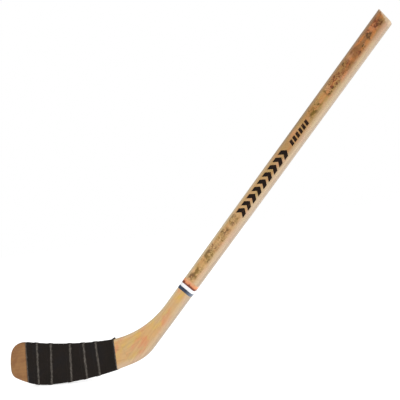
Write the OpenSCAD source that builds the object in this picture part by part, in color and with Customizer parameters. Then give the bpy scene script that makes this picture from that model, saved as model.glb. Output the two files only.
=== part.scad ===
// Wooden ice hockey stick, held as in play: toe towards -X, shaft rising towards +X,
// thickness along Y, lowest point of the taped blade on Z = 0.

/* [Shaft] */
// Angle of the shaft above the ice, in degrees
lie_angle = 44.2; // [42:0.1:47]
// Length of the shaft's centre line, from the ice to the middle of the butt end
shaft_len = 714.5; // [600:0.5:900]
// Width of the shaft where it meets the ice
heel_w = 25.8; // [22:0.1:28]
// Width of the shaft at the butt end
butt_w = 27.6; // [24:0.1:30]
// Thickness of the shaft
shaft_t = 17; // [15:0.5:20]
// Thickness of each of the two outer plies
ply_t = 4.5; // [3.5:0.1:5]
// How far the butt end is cut off square, in degrees
butt_cut = 12; // [0:1:15]

/* [Blade] */
// Reach of the toe ahead of the point where the shaft's centre line meets the ice
toe_reach = 208; // [200:0.5:225]
// Height of the blade at the lowest point of its top edge
blade_h = 64.5; // [60:0.1:70]
// Thickness of the blade at the toe
toe_t = 6.6; // [5:0.1:7.5]
// Distance from the shaft's centre line, at the ice, to where the sole touches the ice
contact_x = 137.5; // [125:0.5:150]
// Radius of the sole between the contact point and the heel
rocker_r = 590; // [540:10:800]
// Radius of the heel
heel_r = 88; // [80:1:130]
// Radius of the sole between the contact point and the toe
toe_sole_r = 131; // [120:1:160]
// Radius of the hollow top edge
top_r = 730; // [600:10:900]
// Radius of the throat, where the top edge turns up into the shaft
throat_r = 181; // [150:1:200]

/* [Heel joint] */
// Length of the shaft's centre line that the blade's tongue reaches to
tongue_len = 176; // [150:1:185]
// Where the plies run out to nothing on the blade, measured along the heel's bisector
feather_b = 28; // [26:1:35]
// Where the plies reach their full thickness, measured the same way
full_b = 150; // [130:1:160]

/* [Tape] */
// Thickness of one layer of tape
tape_t = 0.6; // [0.4:0.1:0.8]
// How far each turn laps over the one before
tape_lap = 8; // [5:1:10]

/* [Painted stripes] */
// Start of the lowest stripe, along the shaft's centre line
stripe_start = 188; // [187:1:230]
// Width of the blue stripe
blue_w = 5.8; // [3:0.1:10]
// Width of the white stripe
white_w = 5.7; // [3:0.1:10]
// Width of the red stripe
red_w = 9.4; // [3:0.1:12]

/* [Printed marks] */
// Start of the row of chevrons, along the shaft's centre line
chevron_start = 344; // [300:1:345]
// Number of chevrons
chevron_count = 9; // [5:1:11]
// Start of the row of small bars, along the shaft's centre line
bar_start = 480.5; // [476:0.5:520]
// Number of small bars
bar_count = 6; // [3:1:8]

/* [Hidden] */

// Corners of the shaft's section are rounded by the whole thickness of a ply.
corner_r = ply_t;
core_t = shaft_t - 2 * ply_t;
// The shaft widens evenly, so each long edge is turned by this much.
edge_turn = atan((butt_w - heel_w) / 2 / shaft_len);
bisector = lie_angle / 2;
// Longer than anything, for cutting shapes.
far = 1500;

// Thickness of paint and of printed marks.
paint_t = 0.2;
mark_t = 0.15;

// Toe: one round edge, with a rounded corner above and below it.
toe_r = 90;
toe_mid_z = 30;
toe_top_r = 27;
toe_low_r = 15;

// Top edge of the blade is lowest here.
top_low_x = -40;

// Visible edges of the turns of tape, from the toe back: where each crosses half the blade's
// height, and how many degrees its top leans to the heel.
tape_turns = [[-174, 5.5], [-152, 6.5], [-125.5, 8], [-88, 6.5], [-61, 2.5], [-37.5, 1], [-4, 2]];
tape_mid_z = 40;

// Chevrons and bars: pitch, size across and along the shaft, and width of a stroke.
chevron_pitch = 14;
chevron_h = 14;
chevron_point = 6;
chevron_stroke = 8.4;
chevron_drop = -0.4;
bar_pitch = 7.5;
bar_h = 8;
bar_stroke = 5;
bar_slant = 2.4;
bar_drop = -0.8;

// A point of the stick's own plane: along the shaft's centre line, and behind it.
function on_shaft(along, behind) = [
    along * cos(lie_angle) + behind * sin(lie_angle),
    along * sin(lie_angle) - behind * cos(lie_angle)
];
function shaft_w(along) = heel_w + (butt_w - heel_w) * along / shaft_len;
// A corner of the butt end; side is 1 behind the centre line and -1 ahead of it.
function butt_corner(side, grow) =
    let (along = shaft_len - side * butt_w / 2 * tan(butt_cut))
    on_shaft(along, side * (shaft_w(along) / 2 + grow));

// Points of an arc.
function arc(centre, radius, from, to, steps) = [
    for (i = [0:steps])
        centre + radius * [cos(from + (to - from) * i / steps), sin(from + (to - from) * i / steps)]
];
// Direction of a vector, from 0 to 360 degrees.
function heading(v) = (360 + atan2(v[1], v[0])) % 360;
// Centre of a circle at given distances from two points, to the left of the line between them.
function meeting(p, p_dist, q, q_dist) =
    let (
        gap = norm(q - p),
        ahead = (gap * gap + p_dist * p_dist - q_dist * q_dist) / (2 * gap),
        aside = sqrt(p_dist * p_dist - ahead * ahead),
        unit = (q - p) / gap
    )
    p + ahead * unit + aside * [-unit[1], unit[0]];

// Arc centres of the outline. Growing the outline changes the radii only.
rocker_c = [-contact_x, rocker_r];
toe_sole_c = [-contact_x, toe_sole_r];
top_c = [top_low_x, blade_h + top_r];
toe_c = [-toe_reach + toe_r, toe_mid_z];
toe_top_c = meeting(toe_c, toe_r - toe_top_r, top_c, top_r + toe_top_r);
toe_low_c = meeting(toe_c, toe_r - toe_low_r, toe_sole_c, toe_sole_r - toe_low_r);

// Heel: tangent to the rocker and to the shaft's rear edge.
rear_angle = lie_angle - edge_turn;
rear_normal = [sin(rear_angle), -cos(rear_angle)];
rear_gap = heel_w / 2 * cos(edge_turn) - heel_r - rear_normal * rocker_c;
heel_from = rear_angle - acos(rear_gap / (rocker_r - heel_r));
heel_c = rocker_c + (rocker_r - heel_r) * [sin(heel_from), -cos(heel_from)];

// Throat: tangent to the top edge and to the shaft's front edge.
front_angle = lie_angle + edge_turn;
front_normal = [sin(front_angle), -cos(front_angle)];
front_gap = -heel_w / 2 * cos(edge_turn) - throat_r - front_normal * top_c;
throat_from = front_angle - acos(front_gap / (top_r - throat_r));
throat_c = top_c + (top_r - throat_r) * [sin(throat_from), -cos(throat_from)];
throat_end = (throat_c + throat_r * front_normal) * [cos(lie_angle), sin(lie_angle)];

// Outline of the whole stick, grown by a skin's thickness, counter-clockwise from the contact.
function outline(grow) =
    concat(
        arc(rocker_c, rocker_r + grow, -90, heel_from - 90, 10),
        arc(heel_c, heel_r + grow, heel_from - 90, rear_angle - 90, 8),
        [butt_corner(1, grow), butt_corner(-1, grow)],
        arc(throat_c, throat_r - grow, front_angle - 90, throat_from - 90, 10),
        arc(top_c, top_r - grow, throat_from - 90, heading(toe_top_c - top_c) - 360, 10),
        arc(toe_top_c, toe_top_r + grow, heading(top_c - toe_top_c), heading(toe_top_c - toe_c), 8),
        arc(toe_c, toe_r + grow, heading(toe_top_c - toe_c), heading(toe_low_c - toe_c), 8),
        arc(toe_low_c, toe_low_r + grow, heading(toe_low_c - toe_c), heading(toe_low_c - toe_sole_c), 6),
        arc(toe_sole_c, toe_sole_r + grow, heading(toe_low_c - toe_sole_c), 270, 6)
    );

// Half the stick's thickness along the heel's bisector: even on the shaft, smoothly less
// through the heel, and thinning slightly to the toe.
function heel_share(b) = let (u = (b - feather_b) / (full_b - feather_b)) u * u * (3 - 2 * u);
function heel_half(b) = (core_t + (shaft_t - core_t) * heel_share(b)) / 2;

// The whole stick is lifted by two layers of tape, and centred on its own length.
place = [(toe_reach - butt_corner(1, 0)[0]) / 2, 0, 2 * tape_t];

module in_place() {
    translate(place) children();
}

// Turns a drawing of the stick's plane into a plate, from one Y to another.
module plate(y_from, y_to) {
    translate([0, y_to, 0]) rotate([90, 0, 0]) linear_extrude(height = y_to - y_from) children();
}

// Turns a drawing of thickness along the bisector into a block across the stick.
module across() {
    rotate([0, -bisector, 0]) linear_extrude(height = 2 * far, center = true) children();
}

// Thickness of the blade with a skin over it.
module blade_profile(grow) {
    toe_b = -toe_reach;
    core_half = core_t / 2 + grow;
    toe_half = toe_t / 2 + grow;
    polygon([
        [toe_b, -toe_half], [feather_b, -core_half], [far, -core_half],
        [far, core_half], [feather_b, core_half], [toe_b, toe_half]
    ]);
}

// Thickness of one ply, from where it runs out on the blade to the shaft; side is 1 or -1.
module ply_profile(side) {
    steps = 10;
    run = full_b - feather_b;
    curve = [for (i = [1:steps]) [feather_b + run * i / steps, side * heel_half(feather_b + run * i / steps)]];
    polygon(concat(
        [[feather_b, side * core_t / 2]], curve,
        [[far, side * shaft_t / 2], [far, side * core_t / 2]]
    ));
}

// The part of the stick's plane behind the line of the shaft's front edge, or ahead of it.
module beside_front_edge(side) {
    edge_low = on_shaft(-far, -shaft_w(-far) / 2);
    edge_high = on_shaft(far, -shaft_w(far) / 2);
    polygon([
        edge_low, edge_high,
        edge_high + side * far * front_normal, edge_low + side * far * front_normal
    ]);
}

// The part of the stick's plane between two places along the shaft.
module along_shaft(from, to) {
    polygon([on_shaft(from, -far), on_shaft(to, -far), on_shaft(to, far), on_shaft(from, far)]);
}

// The shaft as a bar with rounded corners, grown by a skin's thickness.
module rounded_bar(grow, from, to) {
    slice = 0.01;
    radius = corner_r + grow;
    rotate([0, -lie_angle, 0]) hull() {
        for (along = [from, to], side = [-1, 1], edge = [-1, 1])
            translate([along, side * (core_t / 2), edge * (shaft_w(along) / 2 - corner_r)])
                rotate([0, 90, 0]) cylinder(r = radius, h = slice, $fn = 32);
    }
}

// One outer ply: tapers away over the heel, and fills the section's rounded corners.
module shaft_ply(side) {
    intersection() {
        plate(-shaft_t, shaft_t) intersection() {
            polygon(outline(0));
            beside_front_edge(1);
        }
        across() ply_profile(side);
        rounded_bar(0, -60, shaft_len + 60);
    }
}

// One cheek of the heel block: fills the throat between the shaft and the blade's top edge.
module heel_block(side) {
    intersection() {
        plate(-shaft_t, shaft_t) intersection() {
            polygon(outline(0));
            beside_front_edge(-1);
            along_shaft(-far, throat_end);
        }
        across() ply_profile(side);
    }
}

// The blade and the tongue that goes up between the plies.
module blade_plate() {
    intersection() {
        plate(-shaft_t, shaft_t) intersection() {
            polygon(outline(0));
            along_shaft(-far, tongue_len);
        }
        across() blade_profile(0);
    }
}

// A painted band round the shaft.
module stripe(from, width) {
    spare = 5;
    half_w = shaft_w(from + width / 2) / 2 - corner_r;
    half_t = core_t / 2;
    radius = corner_r + paint_t;
    difference() {
        rotate([0, -lie_angle, 0]) translate([from, 0, 0])
            rotate([90, 0, 90]) linear_extrude(height = width) polygon(concat(
                arc([half_t, half_w], radius, 0, 90, 8), arc([-half_t, half_w], radius, 90, 180, 8),
                arc([-half_t, -half_w], radius, 180, 270, 8), arc([half_t, -half_w], radius, 270, 360, 8)
            ));
        rounded_bar(0, from - spare, from + width + spare);
    }
}

// A strip of the stick's plane between two leaning edges of tape.
function lean_x(x, z) = x + (z - tape_mid_z) * tan(lookup(x, tape_turns));
module tape_strip(from, to) {
    low = -20;
    high = 100;
    polygon([
        [lean_x(from, low), low], [lean_x(to, low), low],
        [lean_x(to, high), high], [lean_x(from, high), high]
    ]);
}

// Some layers of tape round the blade, between two edges.
module wrap(layers, from, to) {
    grow = layers * tape_t;
    intersection() {
        plate(-shaft_t, shaft_t) intersection() {
            polygon(outline(grow));
            tape_strip(from, to);
        }
        across() blade_profile(grow);
    }
}

// Places a flat drawing on the front face of the shaft: X up the shaft, Y to its front edge.
module on_front_face(along, behind) {
    at = on_shaft(along, behind);
    translate([at[0], -shaft_t / 2, at[1]])
        rotate([90, -lie_angle, 0]) linear_extrude(height = mark_t) children();
}

module chevron() {
    half = chevron_h / 2;
    polygon([
        [0, -half], [chevron_stroke, -half], [chevron_stroke + chevron_point, 0],
        [chevron_stroke, half], [0, half], [chevron_point, 0]
    ]);
}

module bar() {
    half = bar_h / 2;
    polygon([[0, -half], [bar_stroke, -half], [bar_stroke + bar_slant, half], [bar_slant, half]]);
}

module shaft_core() {
    color("burlywood") in_place() plate(-core_t / 2, core_t / 2) intersection() {
        polygon(outline(0));
        along_shaft(tongue_len, far);
    }
}

module shaft_front_ply() {
    color("peru") in_place() shaft_ply(-1);
}

module shaft_back_ply() {
    color("peru") in_place() shaft_ply(1);
}

module heel_block_front() {
    color("sandybrown") in_place() heel_block(-1);
}

module heel_block_back() {
    color("sandybrown") in_place() heel_block(1);
}

module blade() {
    color("tan") in_place() blade_plate();
}

module blade_tape() {
    last = len(tape_turns) - 1;
    color([0.15, 0.13, 0.12]) in_place() difference() {
        union() {
            wrap(1, tape_turns[0][0], tape_turns[last][0]);
            for (i = [1:last - 1]) wrap(2, tape_turns[i][0] - tape_lap, tape_turns[i][0]);
        }
        blade_plate();
    }
}

module stripe_blue() {
    color([0.12, 0.16, 0.28]) in_place() stripe(stripe_start, blue_w);
}

module stripe_white() {
    color("white") in_place() stripe(stripe_start + blue_w, white_w);
}

module stripe_red() {
    color([0.75, 0.27, 0.16]) in_place() stripe(stripe_start + blue_w + white_w, red_w);
}

module chevron_marks() {
    color([0.13, 0.07, 0.04]) in_place()
        for (i = [0:chevron_count - 1])
            on_front_face(chevron_start + i * chevron_pitch, chevron_drop) chevron();
}

module bar_marks() {
    color([0.2, 0.1, 0.05]) in_place()
        for (i = [0:bar_count - 1]) on_front_face(bar_start + i * bar_pitch, bar_drop) bar();
}

shaft_core();
shaft_front_ply();
shaft_back_ply();
heel_block_front();
heel_block_back();
blade();
blade_tape();
stripe_blue();
stripe_white();
stripe_red();
chevron_marks();
bar_marks();
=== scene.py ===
import bisect
import math

import bmesh
import bpy
from mathutils import Matrix, Vector, noise


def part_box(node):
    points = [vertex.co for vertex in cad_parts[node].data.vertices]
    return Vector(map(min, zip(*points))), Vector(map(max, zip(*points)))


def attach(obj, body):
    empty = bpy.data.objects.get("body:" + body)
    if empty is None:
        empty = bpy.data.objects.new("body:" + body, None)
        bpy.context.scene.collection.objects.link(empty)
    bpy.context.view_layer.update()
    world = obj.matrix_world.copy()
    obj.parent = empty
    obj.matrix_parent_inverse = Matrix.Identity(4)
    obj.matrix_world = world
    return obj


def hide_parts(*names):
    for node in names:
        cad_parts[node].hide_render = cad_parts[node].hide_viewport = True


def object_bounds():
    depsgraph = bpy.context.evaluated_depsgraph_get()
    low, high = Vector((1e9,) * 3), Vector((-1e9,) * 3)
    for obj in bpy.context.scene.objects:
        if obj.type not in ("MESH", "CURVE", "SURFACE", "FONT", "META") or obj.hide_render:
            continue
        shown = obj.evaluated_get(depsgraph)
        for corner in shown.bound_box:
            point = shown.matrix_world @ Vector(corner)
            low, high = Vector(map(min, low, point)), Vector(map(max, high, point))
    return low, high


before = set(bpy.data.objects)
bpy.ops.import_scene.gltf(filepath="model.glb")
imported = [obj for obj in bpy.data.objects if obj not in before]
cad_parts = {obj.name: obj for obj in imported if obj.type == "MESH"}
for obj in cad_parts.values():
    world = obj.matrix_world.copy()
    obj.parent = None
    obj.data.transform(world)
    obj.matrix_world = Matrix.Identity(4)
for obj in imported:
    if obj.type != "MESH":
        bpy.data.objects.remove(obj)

# A wooden ice hockey stick in playing position: the toe points to -X, the shaft rises to +X,
# and the printed face looks to -Y. All lengths are in metres.

CAD_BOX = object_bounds()
MM = 0.001

# ---------------------------------------------------------------- the stick's driving sizes
LIE = math.radians(44.2)
SHAFT_LEN = 714.5 * MM
HEEL_W = 25.8 * MM
BUTT_W = 27.6 * MM
BUTT_CUT = math.radians(12)
BISECTOR = LIE / 2

PLY_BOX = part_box("shaft_front_ply")
CORE_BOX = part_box("shaft_core")
SHAFT_HALF = -PLY_BOX[0].y
CORE_HALF = CORE_BOX[1].y
CORNER_R = SHAFT_HALF - CORE_HALF
EDGE_TURN = math.atan((BUTT_W - HEEL_W) / 2 / SHAFT_LEN)

TOE_REACH = 208 * MM
TOE_HALF = 3.3 * MM
CONTACT_X = 137.5 * MM
BLADE_H = 64.5 * MM
TOP_LOW_X = -40 * MM
ROCKER_R = 590 * MM
HEEL_R = 88 * MM
TOE_SOLE_R = 131 * MM
TOP_R = 730 * MM
THROAT_R = 181 * MM
TOE_R = 90 * MM
TOE_MID_Z = 30 * MM
TOE_TOP_R = 27 * MM
TOE_LOW_R = 15 * MM
BLADE_EDGE_R = 2.0 * MM

TONGUE_LEN = 176 * MM
FEATHER_B = 28 * MM
FULL_B = 150 * MM

TAPE_T = 0.6 * MM
TAPE_LAP = 8 * MM
TAPE_MID_Z = 40 * MM
# Where each visible edge of tape crosses that height, and how many degrees its top leans back.
TAPE_TURNS = ((-174, 5.5), (-152, 6.5), (-125.5, 8), (-88, 6.5), (-61, 2.5), (-37.5, 1), (-4, 2))
TAPE_EDGES = [x * MM for x, _ in TAPE_TURNS]
TAPE_LEANS = [math.radians(lean) for _, lean in TAPE_TURNS]

STRIPE_START = 188 * MM
STRIPES = (("stripe_blue", 5.8 * MM), ("stripe_white", 5.7 * MM), ("stripe_red", 9.4 * MM))

# The stick's own plane is drawn from the point where the shaft's centre line meets the ice.
# The CAD box says where that point lies: the toe is its lowest X, and two layers of tape its lowest Z.
PLACE = Vector((CAD_BOX[0].x + TOE_REACH, CAD_BOX[0].z + 2 * TAPE_T))


# ---------------------------------------------------------------- shapes in the stick's plane
def heading_point(angle):
    return Vector((math.cos(angle), math.sin(angle)))


def on_shaft(along, behind):
    """A point along the shaft's centre line, and behind it."""
    return along * heading_point(LIE) + behind * heading_point(LIE - math.pi / 2)


def to_space(point, y):
    return Vector((point.x + PLACE.x, y, point.y + PLACE.y))


def smooth(value):
    value = min(max(value, 0.0), 1.0)
    return value * value * (3 - 2 * value)


def mix(a, b, share):
    return a + (b - a) * share


def shaft_w(along):
    return mix(HEEL_W, BUTT_W, along / SHAFT_LEN)


def half_thickness(point):
    """Half the stick's thickness: even on the shaft, less through the heel, least at the toe."""
    b = point.dot(heading_point(BISECTOR))
    if b < FEATHER_B:
        return mix(TOE_HALF, CORE_HALF, max(0.0, (b + TOE_REACH) / (FEATHER_B + TOE_REACH)))
    return mix(CORE_HALF, SHAFT_HALF, smooth((b - FEATHER_B) / (FULL_B - FEATHER_B)))


def edge_radius(half):
    """Rounding of the long edges: small on the blade, the whole ply on the shaft."""
    share = (half - CORE_HALF) / (SHAFT_HALF - CORE_HALF)
    return mix(BLADE_EDGE_R, CORNER_R, min(max(share, 0.0), 1.0))


def meeting(p, p_dist, q, q_dist):
    """The point at given distances from two others, to the left of the line between them."""
    gap = (q - p).length
    ahead = (gap * gap + p_dist * p_dist - q_dist * q_dist) / (2 * gap)
    aside = math.sqrt(p_dist * p_dist - ahead * ahead)
    unit = (q - p) / gap
    return p + ahead * unit + aside * Vector((-unit.y, unit.x))


class Arc:
    """Part of a circle; hollow says that the wood is outside it."""

    def __init__(self, centre, radius, start, end, hollow=False):
        self.centre, self.radius = centre, radius
        self.start, self.end = start, end
        self.sign = -1.0 if hollow else 1.0
        self.length = abs(end - start) * radius

    def at(self, share):
        out = heading_point(mix(self.start, self.end, share))
        return self.centre + self.radius * out, self.sign * out


class Line:
    def __init__(self, start, end, out):
        self.start, self.end, self.out = start, end, out
        self.length = (end - start).length

    def at(self, share):
        return self.start.lerp(self.end, share), self.out


def sample(chain, count):
    """Points and outward normals at equal distances along a chain of arcs and lines."""
    total = sum(stretch.length for stretch in chain)
    result = []
    for i in range(count + 1):
        left = total * i / count
        for stretch in chain:
            if left <= stretch.length or stretch is chain[-1]:
                result.append(stretch.at(min(1.0, left / stretch.length)))
                break
            left -= stretch.length
    return result


def angle_of(vector):
    return math.atan2(vector.y, vector.x)


RIGHT_ANGLE = math.pi / 2
rocker_c = Vector((-CONTACT_X, ROCKER_R))
toe_sole_c = Vector((-CONTACT_X, TOE_SOLE_R))
top_c = Vector((TOP_LOW_X, BLADE_H + TOP_R))
toe_c = Vector((-TOE_REACH + TOE_R, TOE_MID_Z))
toe_top_c = meeting(toe_c, TOE_R - TOE_TOP_R, top_c, TOP_R + TOE_TOP_R)
toe_low_c = meeting(toe_c, TOE_R - TOE_LOW_R, toe_sole_c, TOE_SOLE_R - TOE_LOW_R)

REAR_ANGLE = LIE - EDGE_TURN
REAR_OUT = heading_point(REAR_ANGLE - RIGHT_ANGLE)
rear_gap = HEEL_W / 2 * math.cos(EDGE_TURN) - HEEL_R - REAR_OUT.dot(rocker_c)
HEEL_FROM = REAR_ANGLE - math.acos(rear_gap / (ROCKER_R - HEEL_R))
heel_c = rocker_c + (ROCKER_R - HEEL_R) * heading_point(HEEL_FROM - RIGHT_ANGLE)

FRONT_ANGLE = LIE + EDGE_TURN
BEHIND_FRONT = heading_point(FRONT_ANGLE - RIGHT_ANGLE)
front_gap = -HEEL_W / 2 * math.cos(EDGE_TURN) - THROAT_R - BEHIND_FRONT.dot(top_c)
THROAT_FROM = FRONT_ANGLE - math.acos(front_gap / (TOP_R - THROAT_R))
throat_c = top_c + (TOP_R - THROAT_R) * heading_point(THROAT_FROM - RIGHT_ANGLE)
THROAT_END = (throat_c + THROAT_R * BEHIND_FRONT).dot(heading_point(LIE))

TOE_TOP_ANGLE = angle_of(toe_top_c - toe_c)
TOE_LOW_ANGLE = angle_of(toe_low_c - toe_c) % (2 * math.pi)
TOE_SOLE_ANGLE = angle_of(toe_low_c - toe_sole_c) % (2 * math.pi)

top_edge = Arc(top_c, TOP_R, angle_of(toe_top_c - top_c), THROAT_FROM - RIGHT_ANGLE, hollow=True)
throat = Arc(throat_c, THROAT_R, THROAT_FROM - RIGHT_ANGLE, FRONT_ANGLE - RIGHT_ANGLE, hollow=True)
toe_up = Arc(toe_c, TOE_R, math.pi, TOE_TOP_ANGLE)
toe_top = Arc(toe_top_c, TOE_TOP_R, TOE_TOP_ANGLE, angle_of(top_c - toe_top_c))
toe_down = Arc(toe_c, TOE_R, math.pi, TOE_LOW_ANGLE)
toe_low = Arc(toe_low_c, TOE_LOW_R, TOE_LOW_ANGLE, TOE_SOLE_ANGLE)
toe_sole = Arc(toe_sole_c, TOE_SOLE_R, TOE_SOLE_ANGLE, 3 * RIGHT_ANGLE)
rocker = Arc(rocker_c, ROCKER_R, -RIGHT_ANGLE, HEEL_FROM - RIGHT_ANGLE)
heel = Arc(heel_c, HEEL_R, HEEL_FROM - RIGHT_ANGLE, REAR_ANGLE - RIGHT_ANGLE)

BEYOND = SHAFT_LEN + 20 * MM


def edge_line(start, end, side):
    out = REAR_OUT if side > 0 else -BEHIND_FRONT
    return Line(on_shaft(start, side * shaft_w(start) / 2), on_shaft(end, side * shaft_w(end) / 2), out)


HEEL_END = heel.at(1.0)[0].dot(heading_point(LIE))

# Front chain, rear chain, and how many steps they are cut into.
STRETCHES = (
    ([toe_up, toe_top], [toe_down, toe_low], 26),
    ([top_edge], [toe_sole, rocker], 100),
    ([throat], [heel, edge_line(HEEL_END, THROAT_END, 1)], 64),
    ([edge_line(THROAT_END, BEYOND, -1)], [edge_line(THROAT_END, BEYOND, 1)], 240),
)


def stations():
    """Pairs of points with their outward normals, one on the front edge and one on the rear."""
    pairs = []
    for front_chain, rear_chain, count in STRETCHES:
        found = list(zip(sample(front_chain, count), sample(rear_chain, count)))
        pairs += found if not pairs else found[1:]
    return pairs


# ---------------------------------------------------------------- mesh helpers
def new_object(name, mesh, material, slot, *nodes):
    """A piece that rides on the stick, stands for the given CAD nodes and has its material."""
    piece = bpy.data.objects.new(name, mesh)
    bpy.context.scene.collection.objects.link(piece)
    mesh.materials.append(material)
    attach(piece, "root")
    if nodes:
        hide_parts(*nodes)
    return piece


def finish_mesh(bm, name, sharp_angle=math.radians(38)):
    bmesh.ops.remove_doubles(bm, verts=bm.verts, dist=1e-6)
    bmesh.ops.dissolve_degenerate(bm, edges=bm.edges, dist=1e-6)
    bmesh.ops.recalc_face_normals(bm, faces=bm.faces)
    mesh = bpy.data.meshes.new(name)
    bm.to_mesh(mesh)
    bm.free()
    mesh.polygons.foreach_set("use_smooth", [True] * len(mesh.polygons))
    mesh.set_sharp_from_angle(angle=sharp_angle)
    return mesh


def loft(bm, rings, closed_ends=True):
    """Joins rings of points into a tube, with a face over each end."""
    rows = [[bm.verts.new(point) for point in ring] for ring in rings]
    count = len(rows[0])
    for low, high in zip(rows, rows[1:]):
        for i in range(count):
            j = (i + 1) % count
            bm.faces.new((low[i], low[j], high[j], high[i]))
    if closed_ends:
        bm.faces.new(rows[0])
        bm.faces.new(list(reversed(rows[-1])))
    return rows


RIM_STEPS = 7
FACE_STEPS = 14


def wood_wear(position):
    """Small dents that handling leaves along the edges, in metres."""
    broad = noise.noise(position * 45) * 0.12
    sharp = max(0.0, noise.noise(position * 160 + Vector((3, 5, 7))) - 0.35) * 0.7
    return (broad + sharp) * MM


def section(pair):
    """One ring round the stick: rounded front edge, front face, rounded rear edge, back face."""
    (front, front_out), (rear, rear_out) = pair
    half_ring = []
    for edge, out, order in ((front, front_out, 1), (rear, rear_out, -1)):
        radius = edge_radius(half_thickness(edge))
        angles = [RIGHT_ANGLE * i / RIM_STEPS for i in range(RIM_STEPS + 1)]
        points = []
        for turn in angles:
            point = edge - out * radius * (1 - math.cos(turn))
            depth = half_thickness(point) - radius * (1 - math.sin(turn))
            worn = wood_wear(to_space(point, depth)) * math.sin(2 * turn)
            points.append((point - out * max(0.0, worn), depth))
        half_ring.append(points[::order])
    start, end = half_ring[0][-1][0], half_ring[1][0][0]
    face = []
    for i in range(1, FACE_STEPS):
        point = start.lerp(end, i / FACE_STEPS)
        face.append((point, half_thickness(point)))
    side = half_ring[0] + face + half_ring[1]
    printed = [to_space(point, -depth) for point, depth in side]
    plain = [to_space(point, depth) for point, depth in reversed(side)]
    return printed + plain


def cut(bm, point, normal, groove=0.0, layer=None):
    """Takes away what is on the normal's side of a plane, and closes the hole.
    A groove eases the new edge, and marks its corners in the layer."""
    support = 0.3 * MM
    if groove:
        bmesh.ops.bisect_plane(
            bm, geom=bm.verts[:] + bm.edges[:] + bm.faces[:], dist=1e-7,
            plane_co=point - normal * support, plane_no=normal)
    found = bmesh.ops.bisect_plane(
        bm, geom=bm.verts[:] + bm.edges[:] + bm.faces[:], dist=1e-7,
        plane_co=point, plane_no=normal, clear_outer=True)
    bm.normal_update()
    corners = [item for item in found["geom_cut"] if isinstance(item, bmesh.types.BMVert)]
    edges = [item for item in found["geom_cut"] if isinstance(item, bmesh.types.BMEdge)]
    if groove:
        for corner in corners:
            inward = -corner.normal
            inward -= normal * inward.dot(normal)
            corner.co += inward * groove
            corner[layer] = 1.0
    bmesh.ops.triangle_fill(bm, edges=edges, use_beauty=True, use_dissolve=False, normal=normal)


def plane_vector(vector):
    return Vector((vector.x, 0, vector.y))


BUTT_CORNER_R = 3.5 * MM
BUTT_FLATS = 5


def build_blank():
    """The whole wooden stick as one closed shape, before it is parted into its pieces."""
    bm = bmesh.new()
    loft(bm, [section(pair) for pair in stations()])
    bmesh.ops.remove_doubles(bm, verts=bm.verts, dist=1e-6)
    bmesh.ops.recalc_face_normals(bm, faces=bm.faces)
    butt_out = heading_point(LIE - BUTT_CUT)
    end = on_shaft(SHAFT_LEN, 0)
    cut(bm, to_space(end, 0), plane_vector(butt_out))
    # The rear corner of the butt is knocked round, in flats that touch one arc.
    butt_along = SHAFT_LEN - BUTT_W / 2 * math.tan(BUTT_CUT)
    corner = on_shaft(butt_along, shaft_w(butt_along) / 2)
    between = angle_of(butt_out) - angle_of(REAR_OUT)
    middle = (butt_out + REAR_OUT).normalized()
    centre = corner - middle * BUTT_CORNER_R / math.cos(between / 2)
    for i in range(BUTT_FLATS):
        out = heading_point(angle_of(REAR_OUT) + between * (i + 0.5) / BUTT_FLATS)
        cut(bm, to_space(centre + out * BUTT_CORNER_R, 0), plane_vector(out))
    return bm


PRINTED = Vector((0, -1, 0))
PLAIN = Vector((0, 1, 0))
GROOVE = 0.06 * MM


def part(blank, name, cuts):
    """One piece of wood: the blank with everything beyond some planes cut away."""
    bm = blank.copy()
    layer = bm.verts.layers.float.new("seam")
    for point, normal in cuts:
        cut(bm, point, normal, GROOVE, layer)
    return finish_mesh(bm, name)


def wooden_parts():
    """Each piece's name, the CAD node it stands for, its wood, and the planes that part it."""
    front_edge = to_space(on_shaft(0, -shaft_w(0) / 2), 0)
    behind = plane_vector(BEHIND_FRONT)
    tongue = to_space(on_shaft(TONGUE_LEN, 0), 0)
    throat_end = to_space(on_shaft(THROAT_END, 0), 0)
    up = plane_vector(heading_point(LIE))
    front_y = Vector((0, -CORE_HALF, 0))
    back_y = Vector((0, CORE_HALF, 0))
    return (
        ("shaft_front_ply", "shaft_wood", [(front_y, PLAIN), (front_edge, -behind)]),
        ("shaft_back_ply", "shaft_wood", [(back_y, PRINTED), (front_edge, -behind)]),
        ("heel_block_front", "heel_wood", [(front_y, PLAIN), (throat_end, up), (front_edge, behind)]),
        ("heel_block_back", "heel_wood", [(back_y, PRINTED), (throat_end, up), (front_edge, behind)]),
        ("shaft_core", "core_wood", [(front_y, PRINTED), (back_y, PLAIN), (tongue, -up)]),
        ("blade", "blade_wood", [(front_y, PRINTED), (back_y, PLAIN), (tongue, up)]),
    )


# ---------------------------------------------------------------- tape
def lean_at(x):
    """The tape's lean, between one turn's edge and the next."""
    k = min(max(bisect.bisect(TAPE_EDGES, x), 1), len(TAPE_EDGES) - 1)
    share = (x - TAPE_EDGES[k - 1]) / (TAPE_EDGES[k] - TAPE_EDGES[k - 1])
    return mix(TAPE_LEANS[k - 1], TAPE_LEANS[k], min(max(share, 0.0), 1.0))


def lean_x(x, z):
    return x + (z - TAPE_MID_Z) * math.tan(lean_at(x))


def crossing(x, arcs):
    """Where the leaning line through x meets the outline: its height, found by halving."""
    above_is_out = arcs is TOP_ARCS
    low, high = (TAPE_MID_Z, 110 * MM) if above_is_out else (-10 * MM, TAPE_MID_Z)
    for _ in range(40):
        middle = (low + high) / 2
        point = Vector((lean_x(x, middle), middle))
        inside = all(inside_of(arc, point) for arc in arcs)
        if inside == above_is_out:
            low = middle
        else:
            high = middle
    return (low + high) / 2


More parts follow.
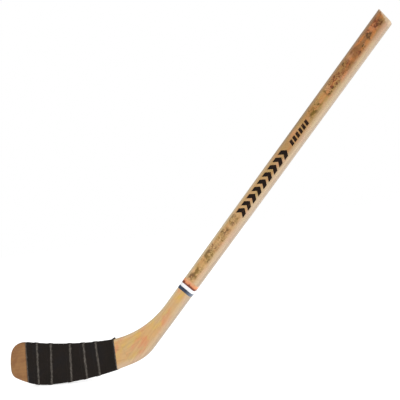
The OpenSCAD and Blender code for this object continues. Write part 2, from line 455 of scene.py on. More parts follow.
def inside_of(arc, point):
    """Whether a point is on the wood's side of an arc; a rocker's toe part counts only ahead."""
    away = (point - arc.centre).length
    if arc is toe_sole and point.x > -CONTACT_X:
        return True
    if arc is rocker and point.x < -CONTACT_X:
        return True
    return away > arc.radius if arc.sign < 0 else away < arc.radius


TOP_ARCS = (top_edge,)
SOLE_ARCS = (toe_sole, rocker)
TAPE_STEP = 0.42 * MM
TAPE_COLUMNS = 54
# A second layer starts in a slope over the edge of the one below, and ends in a short step.
LAP_SLOPE = 2.2 * MM
LAP_STEP = 0.5 * MM
# The tape's upper corner at the heel stands proud by this much, over this length.
CORNER_LIFT = 3.0 * MM
CORNER_LENGTH = 4.0 * MM


def tape_edge_x(k, z, top_z, sole_z, back):
    """Where the edge of turn k runs: leaning on the front, and on the back going on round
    the blade to the turn before."""
    if not back:
        return lean_x(TAPE_EDGES[k], z)
    share = (z - sole_z) / (top_z - sole_z)
    return mix(lean_x(TAPE_EDGES[k], sole_z), lean_x(TAPE_EDGES[k - 1], top_z), share)


def tape_layers(x, z, top_z, sole_z, back):
    """How many layers lie here, from 1 to 2, and how far past the nearest edge it is."""
    layers, nearest = 0.0, 1.0
    turns = range(1, len(TAPE_EDGES) if back else len(TAPE_EDGES) - 1)
    for k in turns:
        ragged = noise.noise(Vector((k * 7.3, z * 420, 2.0 if back else 0.0))) * 0.15 * MM
        ragged += noise.noise(Vector((k * 3.1, z * 60, 5.0 if back else 1.0))) * 0.35 * MM
        past = x - tape_edge_x(k, z, top_z, sole_z, back) - ragged
        if abs(past) < abs(nearest):
            nearest = past
        rise = smooth((past + TAPE_LAP) / LAP_SLOPE + 0.5)
        drop = smooth(0.5 - past / LAP_STEP)
        layers = max(layers, rise * drop)
    return 1 + layers, nearest


def tape_section(x):
    """One ring of the tape, with the wood's surface and the outward direction at each point."""
    top_z, sole_z = crossing(x, TOP_ARCS), crossing(x, SOLE_ARCS)
    upright = Vector((lean_x(x, top_z) - lean_x(x, sole_z), top_z - sole_z)).normalized()
    ring = []
    for edge_z, out in ((top_z, upright), (sole_z, -upright)):
        edge = Vector((lean_x(x, edge_z), edge_z))
        half = half_thickness(edge)
        for i in range(RIM_STEPS + 1):
            turn = RIGHT_ANGLE * i / RIM_STEPS
            point = edge - out * BLADE_EDGE_R * (1 - math.cos(turn))
            depth = half - BLADE_EDGE_R * (1 - math.sin(turn))
            ring.append((point, depth, out * math.cos(turn), math.sin(turn)))
    top_rim, sole_rim = ring[:RIM_STEPS + 1], ring[RIM_STEPS + 1:][::-1]
    start, end = top_rim[-1][0], sole_rim[0][0]
    face = []
    for i in range(1, TAPE_COLUMNS):
        point = start.lerp(end, i / TAPE_COLUMNS)
        face.append((point, half_thickness(point), Vector((0, 0)), 1.0))
    side = top_rim + face + sole_rim
    return side, top_z, sole_z


def tape_rings():
    """Outer and inner rings of the tape, and the visible edge's distance for each outer point."""
    first, last = TAPE_EDGES[0], TAPE_EDGES[-1]
    count = round((last - first) / TAPE_STEP)
    outer, inner, marks = [], [], []
    for i in range(count + 1):
        x = mix(first, last, i / count)
        side, top_z, sole_z = tape_section(x)
        ring, core, near = [], [], []
        for back in (False, True):
            sign = 1 if back else -1
            for point, depth, out, face in (reversed(side) if back else side):
                layers, edge = tape_layers(point.x, point.y, top_z, sole_z, back)
                from_end = min(i, count - i) * TAPE_STEP
                edge = min((edge, from_end), key=abs)
                ends = 0.35 + 0.65 * smooth(from_end / LAP_STEP)
                place = to_space(point, sign * depth)
                pucker = noise.noise(place * 130) * 0.10 + noise.noise(place * 38) * 0.10
                lift = (layers * TAPE_T - 0.06 * MM) * ends + (pucker - 0.12) * MM * ends
                lift += CORNER_LIFT * math.exp(-((last - x) / CORNER_LENGTH) ** 2) * max(0.0, out.y) ** 2
                shift = Vector((out.x, sign * face, out.y))
                ring.append(place + shift * lift)
                core.append(place + shift * 0.02 * MM)
                near.append(abs(edge))
        outer.append(ring)
        inner.append(core)
        marks.append(near)
    return outer, inner, marks


FAR_FROM_EDGE = 9.0


def build_tape(material):
    """The wound tape as one closed sleeve; the edge layer holds each point's distance, in
    millimetres, to the nearest visible edge of a turn."""
    outer, inner, marks = tape_rings()
    bm = bmesh.new()
    layer = bm.verts.layers.float.new("edge")
    skin = loft(bm, outer, closed_ends=False)
    for row, near in zip(skin, marks):
        for corner, distance in zip(row, near):
            corner[layer] = distance / MM
    lining = loft(bm, inner[::8] + [inner[-1]], closed_ends=False)
    for row in lining:
        for corner in row:
            corner[layer] = FAR_FROM_EDGE
    count = len(skin[0])
    for outside, inside in ((skin[0], lining[0]), (skin[-1], lining[-1])):
        for i in range(count):
            j = (i + 1) % count
            bm.faces.new((outside[i], outside[j], inside[j], inside[i]))
    mesh = finish_mesh(bm, "blade_tape_wound", math.radians(60))
    return new_object("blade_tape_wound", mesh, material, "friction_tape", "blade_tape")


# ---------------------------------------------------------------- stripes
# The paint stands proud of the shaft by its film, and its sleeve reaches a little into the wood.
PAINT_FILM = 0.13 * MM
PAINT_SINK = 0.25 * MM
STRIPE_STEPS = 6


def bar_ring(along, grow):
    """A ring round the shaft, grown by a film's thickness, as places behind its centre line and Y."""
    points = []
    half_w = shaft_w(along) / 2 - CORNER_R
    for corner in range(4):
        sign_w = 1 if corner in (0, 3) else -1
        sign_t = 1 if corner in (0, 1) else -1
        for i in range(RIM_STEPS + 1):
            turn = RIGHT_ANGLE * (corner + i / RIM_STEPS)
            behind = sign_w * half_w + (CORNER_R + grow) * math.cos(turn)
            y = sign_t * CORE_HALF + (CORNER_R + grow) * math.sin(turn)
            points.append((behind, y))
    return points


def build_stripe(name, start, end, material, slot):
    """A band of paint round the shaft, with slightly uneven edges."""
    rings = []
    for i in range(STRIPE_STEPS + 1):
        ring = []
        for behind, y in bar_ring(mix(start, end, i / STRIPE_STEPS), PAINT_FILM):
            ends = 1 if i in (0, STRIPE_STEPS) else 0
            waver = noise.noise(Vector((behind * 300, y * 300, start * 900 + i))) * 0.18 * MM * ends
            along = mix(start, end, i / STRIPE_STEPS) + waver
            ring.append(to_space(on_shaft(along, behind), y))
        rings.append(ring)
    low = [to_space(on_shaft(start, behind), y) for behind, y in bar_ring(start, -PAINT_SINK)]
    high = [to_space(on_shaft(end, behind), y) for behind, y in bar_ring(end, -PAINT_SINK)]
    bm = bmesh.new()
    rows = loft(bm, [low] + rings + [high], closed_ends=False)
    count = len(low)
    for i in range(count):
        j = (i + 1) % count
        bm.faces.new((rows[0][j], rows[0][i], rows[-1][i], rows[-1][j]))
    mesh = finish_mesh(bm, name)
    return new_object(name + "_band", mesh, material, slot, name)


# ---------------------------------------------------------------- materials
class Shader:
    """A short way to write a node material: every method adds a node and returns its output."""

    def __init__(self, name, roughness, specular=0.5, coat=0.0, coat_roughness=0.3, sheen=0.0):
        self.material = bpy.data.materials.new(name)
        self.material.use_nodes = True
        self.tree = self.material.node_tree
        self.surface = self.tree.nodes["Principled BSDF"]
        self.set(self.surface, "Roughness", roughness)
        self.set(self.surface, "Specular IOR Level", specular)
        self.set(self.surface, "Coat Weight", coat)
        self.set(self.surface, "Coat Roughness", coat_roughness)
        self.set(self.surface, "Sheen Weight", sheen)

    def set(self, node, socket, value):
        if isinstance(value, bpy.types.NodeSocket):
            self.tree.links.new(value, node.inputs[socket])
        else:
            node.inputs[socket].default_value = value

    def node(self, kind, output, inputs, **settings):
        made = self.tree.nodes.new(kind)
        for key, value in settings.items():
            setattr(made, key, value)
        for socket, value in inputs.items():
            self.set(made, socket, value)
        return made.outputs[output]

    def place(self, turn=0.0, scale=(1, 1, 1), shift=(0, 0, 0)):
        """Object coordinates, turned about Y so that X runs with the grain, then scaled."""
        where = self.node("ShaderNodeTexCoord", "Object", {})
        turned = self.node("ShaderNodeMapping", "Vector", {"Vector": where, "Rotation": (0, turn, 0)})
        return self.node("ShaderNodeMapping", "Vector",
                         {"Vector": turned, "Scale": scale, "Location": shift})

    def noise(self, vector, scale, detail=4.0, roughness=0.55, distortion=0.0):
        return self.node("ShaderNodeTexNoise", "Fac", {
            "Vector": vector, "Scale": scale, "Detail": detail,
            "Roughness": roughness, "Distortion": distortion})

    def math(self, operation, a, b=0.0):
        return self.node("ShaderNodeMath", "Value", {0: a, 1: b}, operation=operation)

    def axis(self, vector, letter):
        return self.node("ShaderNodeSeparateXYZ", letter, {"Vector": vector})

    def ramp(self, fac, *stops):
        """A colour ramp from (position, colour or grey) stops."""
        made = self.tree.nodes.new("ShaderNodeValToRGB")
        self.set(made, "Fac", fac)
        elements = made.color_ramp.elements
        while len(elements) < len(stops):
            elements.new(0.5)
        for element, (position, colour) in zip(elements, stops):
            element.position = position
            rgb = (colour,) * 3 if isinstance(colour, (int, float)) else tuple(colour)
            element.color = (*rgb, 1.0)
        return made.outputs["Color"]

    def span(self, value, low, high, to_low=0.0, to_high=1.0):
        """Maps a range to another, and holds it at the ends."""
        return self.node("ShaderNodeMapRange", "Result", {
            "Value": value, "From Min": low, "From Max": high, "To Min": to_low, "To Max": to_high},
            interpolation_type="SMOOTHSTEP")

    def blend(self, share, a, b, mode="MIX"):
        made = self.tree.nodes.new("ShaderNodeMix")
        made.data_type = "RGBA"
        made.blend_type = mode
        for socket, value in ((0, share), (6, a), (7, b)):
            if isinstance(value, bpy.types.NodeSocket):
                self.tree.links.new(value, made.inputs[socket])
            elif socket == 0:
                made.inputs[0].default_value = value
            else:
                made.inputs[socket].default_value = (*value, 1.0)
        return made.outputs[2]

    def dot(self, direction):
        """How far along a direction, from the frame's origin."""
        where = self.node("ShaderNodeTexCoord", "Object", {})
        return self.node("ShaderNodeVectorMath", "Value", {0: where, 1: direction}, operation="DOT_PRODUCT")

    def attribute(self, name):
        return self.node("ShaderNodeAttribute", "Fac", {}, attribute_name=name)

    def bump(self, *layers):
        """Bump from (height, distance in metres) layers, one over another."""
        normal = None
        for height, distance in layers:
            inputs = {"Height": height, "Distance": distance, "Strength": 1.0}
            if normal:
                inputs["Normal"] = normal
            normal = self.node("ShaderNodeBump", "Normal", inputs)
        self.set(self.surface, "Normal", normal)


def srgb(*values):
    """A colour given as 0-255 display values."""
    linear = []
    for value in values:
        share = value / 255
        linear.append(share / 12.92 if share <= 0.04045 else ((share + 0.055) / 1.055) ** 2.4)
    return tuple(linear)


def wood_figure(shader, turn, seed):
    """Growth rings, fibres and pores of wood whose grain runs at an angle above X."""
    slow = shader.noise(shader.place(turn, (3.0, 30, 30), (seed, 0, 0)), 1.0, 2.0)
    across = shader.place(turn, (1, 1, 1), (seed, 0, 0))
    ring = shader.math("MULTIPLY", shader.axis(across, "Z"), 310.0)
    ring = shader.math("ADD", ring, shader.math("MULTIPLY", shader.axis(across, "Y"), 120.0))
    ring = shader.math("ADD", ring, shader.math("MULTIPLY", slow, 9.0))
    rings = shader.math("PINGPONG", ring, 1.0)
    late = shader.ramp(rings, (0.0, 0.0), (0.55, 0.15), (0.9, 1.0), (1.0, 0.6))
    fibre = shader.noise(shader.place(turn, (14, 900, 900), (seed, 0, 0)), 1.0, 6.0, 0.6)
    pores = shader.noise(shader.place(turn, (70, 2600, 2600), (seed, 0, 0)), 1.0, 2.0, 0.5)
    pores = shader.span(pores, 0.60, 0.72)
    return late, fibre, pores


def along_and_behind(shader):
    """The shaft's own coordinates: metres up its centre line, and metres behind it."""
    start = to_space(Vector((0, 0)), 0)
    shift = Matrix.Rotation(LIE, 3, "Y") @ -start
    where = shader.place(LIE, (1, 1, 1), tuple(shift))
    return shader.axis(where, "X"), shader.math("MULTIPLY", shader.axis(where, "Z"), -1.0)


def up_shaft(shader, along, *stops):
    """A colour ramp whose stops are shares of the shaft's length."""
    return shader.ramp(shader.math("DIVIDE", along, SHAFT_LEN), *stops)


def patches(shader, scale, seed, low, high):
    """Soft blotches, as a share from 0 to 1."""
    cloud = shader.noise(shader.place(LIE, scale, (seed, seed, 0)), 1.0, 3.0, 0.55)
    return shader.span(cloud, low, high)


def heel_tone(shader):
    """The pale wood round the heel, with yellow and pink patches that run over every piece."""
    yellow = patches(shader, (26, 60, 60), 1.0, 0.44, 0.62)
    pink = patches(shader, (34, 75, 75), 6.0, 0.50, 0.66)
    tan = patches(shader, (18, 50, 50), 9.0, 0.50, 0.68)
    colour = shader.blend(yellow, srgb(210, 166, 110), srgb(212, 174, 92))
    colour = shader.blend(shader.math("MULTIPLY", pink, 0.8), colour, srgb(216, 142, 98))
    return shader.blend(shader.math("MULTIPLY", tan, 0.5), colour, srgb(200, 172, 130))


def shaft_tone(shader, along):
    """The upper shaft's wood: browner and redder by stages towards the butt."""
    colour = up_shaft(
        shader, along,
        (0.30, srgb(210, 170, 112)), (0.44, srgb(200, 160, 108)), (0.56, srgb(188, 152, 102)),
        (0.69, srgb(168, 130, 78)), (0.80, srgb(174, 134, 78)), (0.88, srgb(148, 98, 50)),
        (1.0, srgb(138, 92, 48)))
    olive = patches(shader, (40, 90, 90), 3.0, 0.50, 0.64)
    orange = patches(shader, (48, 110, 110), 14.0, 0.48, 0.60)
    rose = patches(shader, (40, 100, 100), 21.0, 0.52, 0.64)
    colour = shader.blend(shader.math("MULTIPLY", olive, 0.45), colour, srgb(172, 144, 80))
    colour = shader.blend(shader.math("MULTIPLY", rose, 0.35), colour, srgb(214, 156, 124))
    redder = shader.span(along, 0.50, 0.62, 0.25, 0.60)
    return shader.blend(shader.math("MULTIPLY", orange, redder), colour, srgb(196, 118, 58))


# Where the shaft has been smudged, in metres along its centre line.
SMUDGES = [(a * MM, b * MM) for a, b in (
    (210, 242), (248, 318), (322, 342), (530, 560), (572, 634), (640, 668), (672, 686), (689, 708))]


def smudge_share(shader, along, behind):
    """Old smears: thin wandering strokes and blots, with no shape to read in them."""
    share = None
    for low, high in SMUDGES:
        begins = shader.span(along, low - 2 * MM, low + 5 * MM)
        ends = shader.span(along, high - 5 * MM, high + 2 * MM, 1.0, 0.0)
        inside = shader.math("MULTIPLY", begins, ends)
        share = inside if share is None else shader.math("MAXIMUM", share, inside)
    front = shader.span(behind, -12 * MM, -8 * MM)
    rear = shader.span(behind, 1.5 * MM, 6.5 * MM, 1.0, 0.0)
    share = shader.math("MULTIPLY", share, shader.math("MULTIPLY", front, rear))
    field = shader.noise(shader.place(LIE, (120, 150, 150), (0, 3, 2)), 1.0, 1.5, 0.4, 1.2)
    stroke = shader.span(shader.math("ABSOLUTE", shader.math("SUBTRACT", field, 0.5)), 0.010, 0.055, 1.0, 0.0)
    blot = shader.span(shader.noise(shader.place(LIE, (130, 170, 170), (7, 0, 4)), 1.0, 4.0, 0.6), 0.50, 0.59)
    haze = shader.span(shader.noise(shader.place(LIE, (60, 100, 100), (2, 0, 9)), 1.0, 2.0), 0.34, 0.55)
    marks = shader.math(
        "MAXIMUM", shader.math("MULTIPLY", stroke, 0.9), shader.math("MULTIPLY", blot, 0.85))
    marks = shader.math("MULTIPLY", marks, shader.math("ADD", shader.math("MULTIPLY", haze, 0.65), 0.30))
    return shader.math("MULTIPLY", share, shader.math("ADD", marks, shader.math("MULTIPLY", haze, 0.06)))


def ply_tone(shader):
    """The outer plies: heel wood at their feet, shaft wood above, smudged, and paler at the rear, partly as
    painted highlight, with painted shade and sheen on the edges.
    """
    along, behind = along_and_behind(shader)
    y = shader.axis(shader.place(), "Y")
    upper = shader.span(along, STRIPE_START, STRIPE_START + 24 * MM)
    colour = shader.blend(upper, heel_tone(shader), shaft_tone(shader, along))
    printed = shader.math("LESS_THAN", y, 0.0)
    inked = shader.math("MULTIPLY", smudge_share(shader, along, behind), printed)
    inked = shader.math("MULTIPLY", inked, shader.span(along, 0.40, 0.66, 0.92, 1.32))
    hue = shader.noise(shader.place(LIE, (34, 70, 70), (9, 0, 0)), 1.0, 1.0)
    hue = shader.math("ADD", hue, shader.span(along, 0.36, 0.62, -0.10, 0.04))
    ink = shader.ramp(hue, (0.38, srgb(112, 84, 10)), (0.52, srgb(84, 56, 14)), (0.66, srgb(116, 56, 22)))
    colour = shader.blend(inked, colour, ink)
    return rim_tone(shader, colour, along, behind)


def short_of(shader, point, heading):
    """How far short of a line the surface lies, in metres; the heading is square to the line."""
    out = plane_vector(heading_point(heading))
    return shader.math("SUBTRACT", to_space(point, 0).dot(out), shader.dot(out))


def inside_arc(shader, arc):
    """How far inside an arc of the stick's outline the surface lies, in metres."""
    middle = to_space(arc.centre, 0)
    x = shader.math("SUBTRACT", shader.axis(shader.place(), "X"), middle.x)
    z = shader.math("SUBTRACT", shader.axis(shader.place(), "Z"), middle.z)
    squared = shader.math("ADD", shader.math("MULTIPLY", x, x), shader.math("MULTIPLY", z, z))
    inside = shader.math("SUBTRACT", arc.radius, shader.math("SQRT", squared))
    return shader.math("MULTIPLY", inside, arc.sign)


def inside_edge(shader, flat_arc, bend, line, bend_from, bend_to):
    """How far inside a whole edge: a flat arc on the blade, a bend, and a line up the shaft."""
    inset = inside_arc(shader, bend)
    on_blade = shader.math("GREATER_THAN", short_of(shader, bend.centre, bend_from), 0.0)
    on_line = shader.math("LESS_THAN", short_of(shader, bend.centre, bend_to), 0.0)
    for share, other in ((on_blade, inside_arc(shader, flat_arc)), (on_line, line)):
        gain = shader.math("MULTIPLY", share, shader.math("SUBTRACT", other, inset))
        inset = shader.math("ADD", inset, gain)
    return inset


def half_width(shader, along):
    widening = shader.math("MULTIPLY", along, (BUTT_W - HEEL_W) / 2 / SHAFT_LEN)
    return shader.math("ADD", widening, HEEL_W / 2)


def inside_rear(shader, along, behind):
    line = shader.math("SUBTRACT", half_width(shader, along), behind)
    return inside_edge(shader, rocker, heel, line, HEEL_FROM, REAR_ANGLE)


def inside_front(shader, along, behind):
    line = shader.math("ADD", half_width(shader, along), behind)
    return inside_edge(shader, top_edge, throat, line, THROAT_FROM, FRONT_ANGLE)


def below_butt(shader):
    """How far inside the butt's flat end, in metres."""
    return short_of(shader, on_shaft(SHAFT_LEN, 0), LIE - BUTT_CUT)


def end_grain(shader):
    """1 on the butt's flat end, and 0 on every other face."""
    return shader.span(below_butt(shader), 0.15 * MM, 0.45 * MM, 1.0, 0.0)


def pale_rear_and_highlight(shader, colour, along, inset):
    """Paler towards the rear edge: partly the wood's own paler colour, partly a painted highlight where the
    light from the rear side falls; with greenish and rosy stretches.
    """
    share = shader.span(inset, 3.6 * MM, 12.0 * MM, 1.0, 0.0)
    share = shader.math("MULTIPLY", share, shader.span(along, 0.10, 0.20, 0.74, 0.82))
    # Pale rear tones, which carry the painted highlight as well as the wood's colour.
    pale = up_shaft(
        shader, along,
        (0.1, srgb(214, 186, 156)), (0.2, srgb(212, 188, 152)), (0.4, srgb(214, 192, 164)),
        (0.75, srgb(214, 190, 158)), (1.0, srgb(200, 164, 136)))
    green = patches(shader, (38, 70, 70), 31.0, 0.54, 0.66)
    rose = patches(shader, (38, 70, 70), 37.0, 0.54, 0.66)
    pale = shader.blend(shader.math("MULTIPLY", green, 0.4), pale, srgb(208, 196, 150))
    pale = shader.blend(shader.math("MULTIPLY", rose, 0.5), pale, srgb(218, 178, 160))
    return shader.blend(share, colour, pale)


def rear_corner_shade(shader, colour, along, inset):
    """Painted shade on the rounded rear corner: grey-brown there, less so round the heel."""
    share = shader.span(inset, 0.0, 4.5 * MM, 0.92, 0.0)
    share = shader.math("MULTIPLY", share, shader.span(along, 0.02, 0.10, 0.6, 1.0))
    return shader.blend(share, colour, srgb(168, 150, 130))


def front_corner_sheen(shader, colour, along, inset):
    """Paler and greyer on the front corner: a painted sheen, the pale grey that a rounded edge shows at a
    grazing angle.
    """
    share = shader.span(inset, 1.4 * MM, 5.8 * MM, 0.95, 0.0)
    share = shader.math("MULTIPLY", share, shader.span(along, 0.12, 0.17, 0.5, 1.0))
    # The painted sheen's colours, up the shaft.
    dull = up_shaft(
        shader, along,
        (0.26, srgb(216, 198, 162)), (0.50, srgb(208, 186, 150)), (0.62, srgb(196, 170, 136)),
        (0.70, srgb(166, 142, 110)), (0.85, srgb(170, 142, 110)), (1.0, srgb(160, 130, 102)))
    return shader.blend(share, colour, dull)


def scuffed_butt(shader, colour, behind):
    """Scuffed pale at the butt end, most of all round its rear corner."""
    worn = shader.noise(shader.place(LIE, (90, 260, 260)), 1.0, 5.0, 0.65)
    inset = shader.math("ADD", below_butt(shader), shader.span(worn, 0.3, 0.7, -1.5 * MM, 1.5 * MM))
    reach = shader.span(behind, -BUTT_W / 2, BUTT_W / 2, 0.6 * MM, 7.5 * MM)
    share = shader.span(shader.math("DIVIDE", inset, reach), 0.3, 1.3, 0.85, 0.0)
    share = shader.math("MAXIMUM", share, shader.math("MULTIPLY", end_grain(shader), 0.9))
    return shader.blend(share, colour, srgb(208, 184, 154))


def rim_tone(shader, colour, along, behind):
    """A colour with the pale rear strip, painted shade on the rear corner, painted sheen on the front corner,
    and the wear of its butt end over it.
    """
    rear = inside_rear(shader, along, behind)
    # Pale rear strip, partly painted highlight; painted shade on the rear corner; painted sheen on the front
    # corner.
    colour = pale_rear_and_highlight(shader, colour, along, rear)
    colour = rear_corner_shade(shader, colour, along, rear)
    colour = front_corner_sheen(shader, colour, along, inside_front(shader, along, behind))
    return scuffed_butt(shader, colour, behind)


def heel_rim_tone(shader):
    """The wood round the heel, with the pale rear strip, painted shade and painted sheen of its edges."""
    along, behind = along_and_behind(shader)
    return rim_tone(shader, heel_tone(shader), along, behind)


def core_tone(shader):
    """The pale strip between the plies, seen on the narrow edges and at the butt."""
    soft = patches(shader, (30, 90, 90), 5.0, 0.40, 0.62)
    colour = shader.blend(soft, srgb(206, 180, 150), srgb(196, 168, 136))
    # Painted shade: the narrow edges darken towards the plain back face; none on the butt's end.
    back_edge_shade = shader.span(shader.axis(shader.place(), "Y"), -CORE_HALF, CORE_HALF, 0.2, 0.9)
    off_butt_end = shader.math("SUBTRACT", 1.0, end_grain(shader))
    colour = shader.blend(shader.math("MULTIPLY", back_edge_shade, off_butt_end), colour, srgb(148, 132, 114))
    along, _ = along_and_behind(shader)
    low = shader.span(along, STRIPE_START, STRIPE_START + 24 * MM, 0.85, 0.0)
    return shader.blend(low, colour, heel_rim_tone(shader))


def blade_tone(shader):
    """The blade: heel wood by the shaft, and dull brown where the toe is bare and worn.
    Glue from the tape has crept out on to the toe and picked up dirt, along the tape's edge."""
    x = shader.axis(shader.place(), "X")
    start = PLACE.x + TAPE_EDGES[0]
    bare = shader.span(x, start, start + 30 * MM, 1.0, 0.0)
    shade = patches(shader, (40, 70, 70), 11.0, 0.42, 0.60)
    toe = shader.blend(shade, srgb(153, 108, 61), srgb(141, 96, 53))
    tip = shader.span(x, CAD_BOX[0].x, CAD_BOX[0].x + 7 * MM, 0.6, 0.0)
    toe = shader.blend(tip, toe, srgb(130, 102, 64))
    z = shader.axis(shader.place(), "Z")
    height = shader.math("SUBTRACT", z, PLACE.y + TAPE_MID_Z)
    lean = shader.math("MULTIPLY", height, math.tan(TAPE_LEANS[0]))
    before = shader.math("SUBTRACT", shader.math("ADD", start, lean), x)
    ragged = shader.noise(shader.place(0, (300, 300, 300)), 1.0, 3.0)
    before = shader.math("ADD", before, shader.span(ragged, 0.3, 0.7, -0.5 * MM, 0.5 * MM))
    glue = shader.span(before, 0.4 * MM, 2.8 * MM, 0.8, 0.0)
    toe = shader.blend(glue, toe, srgb(70, 50, 34))
    return shader.blend(bare, heel_rim_tone(shader), toe)


def make_wood(name, turn, seed, tone, coat):
    """Varnished wood: a tone for its slow colours, and grain that runs at an angle above X."""
    shader = Shader(name, 0.45, specular=0.3, coat=coat, coat_roughness=0.3)
    colour = tone(shader)
    late, fibre, pores = wood_figure(shader, turn, seed)
    figure = shader.math("ADD", 0.10, shader.math("MULTIPLY", end_grain(shader), 0.35))
    colour = shader.blend(shader.math("MULTIPLY", late, figure), colour, srgb(168, 116, 70), "MULTIPLY")
    streak = shader.ramp(fibre, (0.3, 0.88), (0.7, 1.08))
    colour = shader.blend(0.7, colour, streak, "MULTIPLY")
    colour = shader.blend(shader.math("MULTIPLY", pores, 0.30), colour, srgb(118, 74, 42))
    seam = shader.math("POWER", shader.attribute("seam"), 2.0)
    colour = shader.blend(shader.math("MULTIPLY", seam, 0.15), colour, srgb(96, 64, 40))
    shader.set(shader.surface, "Base Color", colour)
    rough = shader.noise(shader.place(turn, (60, 220, 220)), 1.0, 4.0)
    shader.set(shader.surface, "Roughness", shader.span(rough, 0.3, 0.7, 0.40, 0.60))
    shader.bump((fibre, 0.00008), (late, 0.00004), (pores, -0.00010))
    return shader.material


THREAD_PITCH = 0.45 * MM


def make_tape():
    """Black cotton tape: a plain weave, lint, and light threads along each turn's edge."""
    shader = Shader("friction_tape_cloth", 0.85, specular=0.10, sheen=0.04)
    pitch = 2 * math.pi / THREAD_PITCH
    where = shader.place(0, (1, 1, 1))
    warp = shader.math("SINE", shader.math("MULTIPLY", shader.axis(where, "X"), pitch))
    weft = shader.math("SINE", shader.math("MULTIPLY", shader.axis(where, "Z"), pitch))
    weave = shader.math("MULTIPLY", warp, weft)
    lint = shader.noise(shader.place(0, (900, 900, 900)), 1.0, 3.0, 0.7)
    cloud = shader.noise(shader.place(0, (28, 28, 28)), 1.0, 3.0)
    colour = shader.ramp(cloud, (0.35, srgb(25, 21, 17)), (0.5, srgb(30, 24, 20)), (0.65, srgb(26, 23, 23)))
    colour = shader.blend(shader.span(weave, -0.8, 0.9, 0.0, 0.30), colour, srgb(52, 46, 42))
    colour = shader.blend(shader.span(lint, 0.62, 0.8, 0.0, 0.30), colour, srgb(86, 78, 72))
    edge = shader.attribute("edge")
    fray = shader.noise(shader.place(0, (700, 700, 260)), 1.0, 2.0)
    reach = shader.math("ADD", edge, shader.span(fray, 0.3, 0.7, -0.7, 0.7))
    strands = shader.noise(shader.place(0, (2400, 2400, 160)), 1.0, 3.0, 0.6)
    threads = shader.ramp(
        strands, (0.36, srgb(52, 48, 44)), (0.5, srgb(90, 84, 78)), (0.64, srgb(128, 122, 114)))
    light = shader.span(reach, 0.6, 2.4, 0.88, 0.0)
    colour = shader.blend(light, colour, threads)
    shader.set(shader.surface, "Base Color", colour)
    crease = shader.noise(shader.place(0, (160, 160, 40)), 1.0, 4.0, 0.6)
    shader.bump((crease, 0.0006), (weave, 0.00008), (lint, 0.00010))
    return shader.material


def make_paint(name, tone):
    """A thin band of old paint, rubbed through to the wood in spots."""
    shader = Shader(name, 0.5, specular=0.35, coat=0.1)
    colour = tone(shader)
    rub = shader.noise(shader.place(LIE, (140, 320, 320)), 1.0, 6.0, 0.7)
    worn = shader.span(rub, 0.63, 0.70)
    colour = shader.blend(shader.math("MULTIPLY", worn, 0.7), colour, srgb(196, 158, 118))
    shader.set(shader.surface, "Base Color", colour)
    grain = shader.noise(shader.place(LIE, (20, 900, 900)), 1.0, 5.0)
    shader.set(shader.surface, "Roughness", shader.span(rub, 0.3, 0.7, 0.4, 0.62))
    shader.bump((grain, 0.00006), (worn, -0.00010))
    return shader.material


def mottled(shader, low, high):
    """A paint's two shades, in soft patches."""
    cloud = shader.noise(shader.place(LIE, (90, 200, 200)), 1.0, 4.0)
    return shader.ramp(cloud, (0.35, low), (0.65, high))


def white_tone(shader):
    return mottled(shader, srgb(240, 240, 242), srgb(250, 250, 252))


def blue_tone(shader):
    """Dark blue, turning grey-blue towards the rear edge."""
    colour = mottled(shader, srgb(30, 42, 64), srgb(50, 64, 88))
    _, behind = along_and_behind(shader)
    return shader.blend(shader.span(behind, 0.0, HEEL_W / 2, 0.0, 0.45), colour, srgb(150, 160, 174))


def red_tone(shader):
    """Dark red at the lower edge, then orange-red that has rubbed away into the wood."""
    along, _ = along_and_behind(shader)
    start = STRIPE_START + STRIPES[0][1] + STRIPES[1][1]
    ragged = shader.noise(shader.place(LIE, (160, 260, 260)), 1.0, 4.0)
    along = shader.math("ADD", along, shader.span(ragged, 0.25, 0.75, -1.6 * MM, 1.6 * MM))
    share = shader.span(along, start + 2.4 * MM, start + 4.8 * MM)
    colour = shader.blend(share, srgb(120, 56, 32), srgb(222, 142, 96))
    faded = shader.span(along, start + 4.5 * MM, start + STRIPES[2][1], 0.0, 0.75)
    return shader.blend(faded, colour, srgb(214, 168, 124))


def make_ink(name, low, high):
    """Printed ink, thin enough to let the grain show and rubbed away in places."""
    shader = Shader(name, 0.6, specular=0.12)
    tone = shader.noise(shader.place(LIE, (60, 300, 300)), 1.0, 5.0, 0.65)
    colour = shader.ramp(tone, (0.35, low), (0.62, high), (0.76, srgb(104, 74, 46)))
    shader.set(shader.surface, "Base Color", colour)
    grain = shader.noise(shader.place(LIE, (14, 900, 900)), 1.0, 6.0)
    shader.bump((grain, 0.00008))
    return shader.material


# ---------------------------------------------------------------- putting it together
def dress_node(name, material):
    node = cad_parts[name]
    node.data.materials.clear()
    node.data.materials.append(material)


def build_stick():
    woods = {
        "shaft_wood": make_wood("shaft_wood_ply", LIE, 0.0, ply_tone, 0.10),
        "core_wood": make_wood("core_wood_strip", LIE, 4.0, core_tone, 0.08),
        "heel_wood": make_wood("heel_wood_block", BISECTOR, 8.0, heel_rim_tone, 0.12),
        "blade_wood": make_wood("blade_wood_plate", 0.06, 12.0, blade_tone, 0.10),
    }
    blank = build_blank()
    for node, slot, cuts in wooden_parts():
        new_object(node + "_wood", part(blank, node + "_wood", cuts), woods[slot], slot, node)
    blank.free()
    build_tape(make_tape())
    paints = (("blue_paint", blue_tone), ("white_paint", white_tone), ("red_paint", red_tone))
    start = STRIPE_START
    for (name, width), (slot, tone) in zip(STRIPES, paints):
        build_stripe(name, start, start + width, make_paint(slot + "_band", tone), slot)
        start += width
    dress_node("chevron_marks", make_ink("chevron_ink", srgb(18, 10, 6), srgb(34, 20, 12)))
    dress_node("bar_marks", make_ink("bar_ink", srgb(28, 14, 6), srgb(48, 26, 14)))


# ---------------------------------------------------------------- stage, light and camera
ROOM_LIGHT = 0.6
FLOOR_GLOW = 0.6
FLOOR_HALF = 6.0


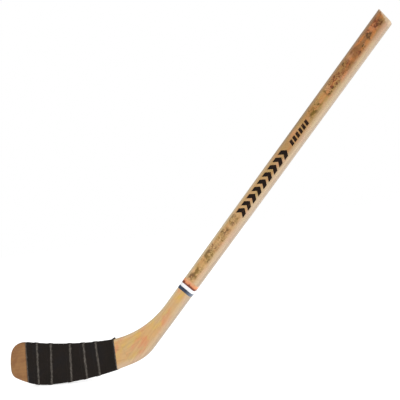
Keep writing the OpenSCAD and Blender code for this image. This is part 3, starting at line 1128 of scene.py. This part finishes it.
def make_stage():
    """A white floor that glows a little, in a white room."""
    mesh = bpy.data.meshes.new("floor")
    half = FLOOR_HALF
    corners = [(-half, -half), (half, -half), (half, half), (-half, half)]
    mesh.from_pydata([(x, y, CAD_BOX[0].z) for x, y in corners], [], [(0, 1, 2, 3)])
    floor = bpy.data.objects.new("floor", mesh)
    bpy.context.scene.collection.objects.link(floor)
    shader = Shader("floor_white", 0.9, specular=0.0)
    shader.set(shader.surface, "Base Color", (0.95, 0.95, 0.95, 1.0))
    shader.set(shader.surface, "Emission Color", (1.0, 1.0, 1.0, 1.0))
    shader.set(shader.surface, "Emission Strength", FLOOR_GLOW)
    mesh.materials.append(shader.material)

    world = bpy.data.worlds.new("studio")
    world.use_nodes = True
    tree = world.node_tree
    background = tree.nodes["Background"]
    background.inputs["Color"].default_value = (1.0, 1.0, 1.0, 1.0)
    # The room is white to look at, and a softer light to the stick.
    path = tree.nodes.new("ShaderNodeLightPath")
    level = tree.nodes.new("ShaderNodeMapRange")
    level.inputs["To Min"].default_value = ROOM_LIGHT
    level.inputs["To Max"].default_value = 1.0
    tree.links.new(path.outputs["Is Camera Ray"], level.inputs["Value"])
    tree.links.new(level.outputs["Result"], background.inputs["Strength"])
    bpy.context.scene.world = world
    bpy.context.scene.view_settings.view_transform = "Standard"


def add_light(name, place, aim, size, energy):
    light = bpy.data.lights.new(name, "AREA")
    light.shape = "SQUARE"
    light.size = size
    light.energy = energy
    lamp = bpy.data.objects.new(name, light)
    lamp.location = place
    lamp.rotation_euler = (aim - place).to_track_quat("-Z", "Y").to_euler()
    bpy.context.scene.collection.objects.link(lamp)


def make_lights():
    middle = (CAD_BOX[0] + CAD_BOX[1]) / 2
    add_light("key", middle + Vector((1.9, -0.7, 0.1)), middle, 0.9, 11.0)
    add_light("top", middle + Vector((-0.2, -0.6, 2.0)), middle, 1.4, 8.0)


VIEW_AZIMUTH = math.radians(18)
VIEW_ROLL = math.radians(9)
VIEW_DISTANCE = 1.281
VIEW_SHIFT = Vector((0.0277, 0, 0.019))
LENS_MM = 72
SENSOR_MM = 36


def make_camera():
    """A level camera, a little to the butt's side, rolled so that the shaft stands steeper."""
    camera = bpy.data.cameras.new("camera")
    camera.lens = LENS_MM
    camera.sensor_width = SENSOR_MM
    holder = bpy.data.objects.new("camera", camera)
    bpy.context.scene.collection.objects.link(holder)
    back = Vector((math.sin(VIEW_AZIMUTH), -math.cos(VIEW_AZIMUTH), 0))
    right = Vector((math.cos(VIEW_AZIMUTH), math.sin(VIEW_AZIMUTH), 0))
    up = Vector((0, 0, 1))
    rolled_right = math.cos(VIEW_ROLL) * right - math.sin(VIEW_ROLL) * up
    rolled_up = math.sin(VIEW_ROLL) * right + math.cos(VIEW_ROLL) * up
    axes = Matrix((rolled_right, rolled_up, back)).transposed().to_4x4()
    target = (CAD_BOX[0] + CAD_BOX[1]) / 2 + VIEW_SHIFT
    holder.matrix_world = Matrix.Translation(target + back * VIEW_DISTANCE) @ axes
    bpy.context.scene.camera = holder


make_camera()
make_stage()
make_lights()
build_stick()
